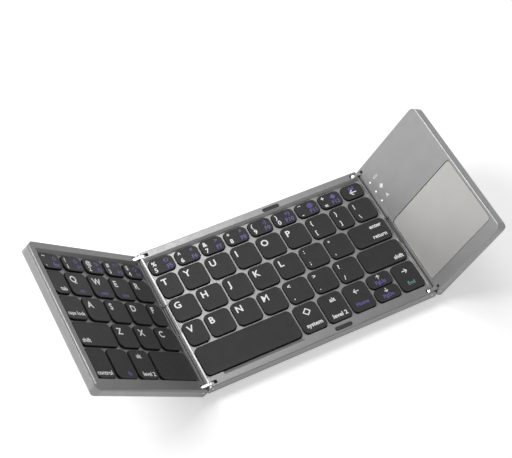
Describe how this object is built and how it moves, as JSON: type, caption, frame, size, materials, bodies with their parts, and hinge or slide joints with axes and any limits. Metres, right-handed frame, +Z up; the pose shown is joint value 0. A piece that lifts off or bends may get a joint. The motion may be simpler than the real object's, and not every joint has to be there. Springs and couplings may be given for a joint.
{
  "type": "folding keyboard",
  "caption": "Pocket folding keyboard with a touchpad panel; the side panels fold up over the middle one on linked hinges, and the keys press down.",
  "frame": {"origin": "middle of the middle panel's footprint, on the table plane its feet rest on", "axes": "+X to the user's right along the panels, +Y to the rear, +Z up"},
  "size_m": [0.2574, 0.0974, 0.0649],
  "materials": {
    "anodised_silver": "satin anodised, fine blasted grain",
    "anodised_grey": "satin anodised, darker in the shade",
    "touchpad_surface": "smooth satin coating",
    "keycap": "soft matte, fine texture",
    "rubber_foot": "matte",
    "bright_steel": "bright plated",
    "cover_plastic": "matte",
    "flex_film": "smooth film",
    "membrane": "smooth film",
    "silicone": "translucent matte",
    "scissor_plastic": "matte",
    "circuit_board": "solder mask",
    "battery_foil": "foil pouch",
    "light_pipe": "clear diffuse"
  },
  "bodies": {
    "centre_panel": {"centre_bottom_shell": "anodised_silver", "centre_key_deck": "anodised_silver", "centre_switch_membrane": "membrane", "centre_dome_sheet": "silicone", "centre_scissor_frames": "scissor_plastic", "centre_screws": "bright_steel", "centre_feet": "rubber_foot", "folding_pads": "rubber_foot", "left_inner_pins": "bright_steel", "right_inner_pins": "bright_steel"},
    "left_link": {"left_hinge_links": "bright_steel", "left_cable_cover": "cover_plastic", "left_flex_cable": "flex_film"},
    "right_link": {"right_hinge_links": "bright_steel", "right_cable_cover": "cover_plastic", "right_flex_cable": "flex_film"},
    "left_panel": {"left_bottom_shell": "anodised_silver", "left_key_deck": "anodised_grey", "left_switch_membrane": "membrane", "left_dome_sheet": "silicone", "left_scissor_frames": "scissor_plastic", "left_screws": "bright_steel", "left_feet": "rubber_foot", "left_outer_pins": "bright_steel"},
    "right_panel": {"right_bottom_shell": "anodised_silver", "right_top_plate": "anodised_silver", "touchpad": "touchpad_surface", "touchpad_board": "circuit_board", "battery": "battery_foil", "main_circuit_board": "circuit_board", "charging_port": "bright_steel", "indicator_lenses": "light_pipe", "right_screws": "bright_steel", "right_feet": "rubber_foot", "right_outer_pins": "bright_steel"},
    "left_number_keys": {"left_number_keys": "keycap"},
    "left_upper_keys": {"left_upper_keys": "keycap"},
    "left_home_keys": {"left_home_keys": "keycap"},
    "left_lower_keys": {"left_lower_keys": "keycap"},
    "tab_key": {"tab_key": "keycap"},
    "caps_lock_key": {"caps_lock_key": "keycap"},
    "left_shift_key": {"left_shift_key": "keycap"},
    "control_key": {"control_key": "keycap"},
    "function_key": {"function_key": "keycap"},
    "left_alt_key": {"left_alt_key": "keycap"},
    "left_space_key": {"left_space_key": "keycap"},
    "centre_number_keys": {"centre_number_keys": "keycap"},
    "backspace_key": {"backspace_key": "keycap"},
    "centre_upper_keys": {"centre_upper_keys": "keycap"},
    "centre_home_keys": {"centre_home_keys": "keycap"},
    "enter_key": {"enter_key": "keycap"},
    "centre_lower_keys": {"centre_lower_keys": "keycap"},
    "right_shift_key": {"right_shift_key": "keycap"},
    "space_key": {"space_key": "keycap"},
    "menu_key": {"menu_key": "keycap"},
    "right_alt_key": {"right_alt_key": "keycap"},
    "left_arrow_key": {"left_arrow_key": "keycap"},
    "up_arrow_key": {"up_arrow_key": "keycap"},
    "down_arrow_key": {"down_arrow_key": "keycap"},
    "right_arrow_key": {"right_arrow_key": "keycap"}
  },
  "joints": [
    {"name": "left_link_turn", "type": "hinge", "parent": "centre_panel", "child": "left_link", "pos_m": [-0.073, 0, 0.0058], "axis": [0, 1, 0], "range_deg": [0, 90], "deforming": ["left_flex_cable"]},
    {"name": "left_panel_fold", "type": "hinge", "parent": "left_link", "child": "left_panel", "pos_m": [-0.0793, 0, 0.0058], "axis": [0, 1, 0], "range_deg": [-42, 48], "deforming": ["left_flex_cable"]},
    {"name": "right_link_turn", "type": "hinge", "parent": "centre_panel", "child": "right_link", "pos_m": [0.073, 0, 0.0058], "axis": [0, -1, 0], "range_deg": [0, 90], "deforming": ["right_flex_cable"]},
    {"name": "right_panel_fold", "type": "hinge", "parent": "right_link", "child": "right_panel", "pos_m": [0.0793, 0, 0.0058], "axis": [0, -1, 0], "range_deg": [-60, 30], "deforming": ["right_flex_cable"]},
    {"name": "left_number_keys_press", "type": "slide", "parent": "left_panel", "child": "left_number_keys", "axis": [-0.6691, 0, -0.7431], "range_m": [0, 0.0012], "stiffness_N_per_m": 750, "springref_m": -0.001},
    {"name": "left_upper_keys_press", "type": "slide", "parent": "left_panel", "child": "left_upper_keys", "axis": [-0.6691, 0, -0.7431], "range_m": [0, 0.0012], "stiffness_N_per_m": 600, "springref_m": -0.001},
    {"name": "left_home_keys_press", "type": "slide", "parent": "left_panel", "child": "left_home_keys", "axis": [-0.6691, 0, -0.7431], "range_m": [0, 0.0012], "stiffness_N_per_m": 600, "springref_m": -0.001},
    {"name": "left_lower_keys_press", "type": "slide", "parent": "left_panel", "child": "left_lower_keys", "axis": [-0.6691, 0, -0.7431], "range_m": [0, 0.0012], "stiffness_N_per_m": 450, "springref_m": -0.001},
    {"name": "tab_key_press", "type": "slide", "parent": "left_panel", "child": "tab_key", "axis": [-0.6691, 0, -0.7431], "range_m": [0, 0.0012], "stiffness_N_per_m": 150, "springref_m": -0.001},
    {"name": "caps_lock_key_press", "type": "slide", "parent": "left_panel", "child": "caps_lock_key", "axis": [-0.6691, 0, -0.7431], "range_m": [0, 0.0012], "stiffness_N_per_m": 150, "springref_m": -0.001},
    {"name": "left_shift_key_press", "type": "slide", "parent": "left_panel", "child": "left_shift_key", "axis": [-0.6691, 0, -0.7431], "range_m": [0, 0.0012], "stiffness_N_per_m": 150, "springref_m": -0.001},
    {"name": "control_key_press", "type": "slide", "parent": "left_panel", "child": "control_key", "axis": [-0.6691, 0, -0.7431], "range_m": [0, 0.0012], "stiffness_N_per_m": 150, "springref_m": -0.001},
    {"name": "function_key_press", "type": "slide", "parent": "left_panel", "child": "function_key", "axis": [-0.6691, 0, -0.7431], "range_m": [0, 0.0012], "stiffness_N_per_m": 150, "springref_m": -0.001},
    {"name": "left_alt_key_press", "type": "slide", "parent": "left_panel", "child": "left_alt_key", "axis": [-0.6691, 0, -0.7431], "range_m": [0, 0.0012], "stiffness_N_per_m": 150, "springref_m": -0.001},
    {"name": "left_space_key_press", "type": "slide", "parent": "left_panel", "child": "left_space_key", "axis": [-0.6691, 0, -0.7431], "range_m": [0, 0.0012], "stiffness_N_per_m": 150, "springref_m": -0.001},
    {"name": "centre_number_keys_press", "type": "slide", "parent": "centre_panel", "child": "centre_number_keys", "axis": [0, 0, -1], "range_m": [0, 0.0012], "stiffness_N_per_m": 1200, "springref_m": -0.001},
    {"name": "backspace_key_press", "type": "slide", "parent": "centre_panel", "child": "backspace_key", "axis": [0, 0, -1], "range_m": [0, 0.0012], "stiffness_N_per_m": 150, "springref_m": -0.001},
    {"name": "centre_upper_keys_press", "type": "slide", "parent": "centre_panel", "child": "centre_upper_keys", "axis": [0, 0, -1], "range_m": [0, 0.0012], "stiffness_N_per_m": 1350, "springref_m": -0.001},
    {"name": "centre_home_keys_press", "type": "slide", "parent": "centre_panel", "child": "centre_home_keys", "axis": [0, 0, -1], "range_m": [0, 0.0012], "stiffness_N_per_m": 1050, "springref_m": -0.001},
    {"name": "enter_key_press", "type": "slide", "parent": "centre_panel", "child": "enter_key", "axis": [0, 0, -1], "range_m": [0, 0.0012], "stiffness_N_per_m": 150, "springref_m": -0.001},
    {"name": "centre_lower_keys_press", "type": "slide", "parent": "centre_panel", "child": "centre_lower_keys", "axis": [0, 0, -1], "range_m": [0, 0.0012], "stiffness_N_per_m": 1050, "springref_m": -0.001},
    {"name": "right_shift_key_press", "type": "slide", "parent": "centre_panel", "child": "right_shift_key", "axis": [0, 0, -1], "range_m": [0, 0.0012], "stiffness_N_per_m": 150, "springref_m": -0.001},
    {"name": "space_key_press", "type": "slide", "parent": "centre_panel", "child": "space_key", "axis": [0, 0, -1], "range_m": [0, 0.0012], "stiffness_N_per_m": 150, "springref_m": -0.001},
    {"name": "menu_key_press", "type": "slide", "parent": "centre_panel", "child": "menu_key", "axis": [0, 0, -1], "range_m": [0, 0.0012], "stiffness_N_per_m": 150, "springref_m": -0.001},
    {"name": "right_alt_key_press", "type": "slide", "parent": "centre_panel", "child": "right_alt_key", "axis": [0, 0, -1], "range_m": [0, 0.0012], "stiffness_N_per_m": 150, "springref_m": -0.001},
    {"name": "left_arrow_key_press", "type": "slide", "parent": "centre_panel", "child": "left_arrow_key", "axis": [0, 0, -1], "range_m": [0, 0.0012], "stiffness_N_per_m": 150, "springref_m": -0.001},
    {"name": "up_arrow_key_press", "type": "slide", "parent": "centre_panel", "child": "up_arrow_key", "axis": [0, 0, -1], "range_m": [0, 0.0012], "stiffness_N_per_m": 150, "springref_m": -0.001},
    {"name": "down_arrow_key_press", "type": "slide", "parent": "centre_panel", "child": "down_arrow_key", "axis": [0, 0, -1], "range_m": [0, 0.0012], "stiffness_N_per_m": 150, "springref_m": -0.001},
    {"name": "right_arrow_key_press", "type": "slide", "parent": "centre_panel", "child": "right_arrow_key", "axis": [0, 0, -1], "range_m": [0, 0.0012], "stiffness_N_per_m": 150, "springref_m": -0.001}
  ]
}
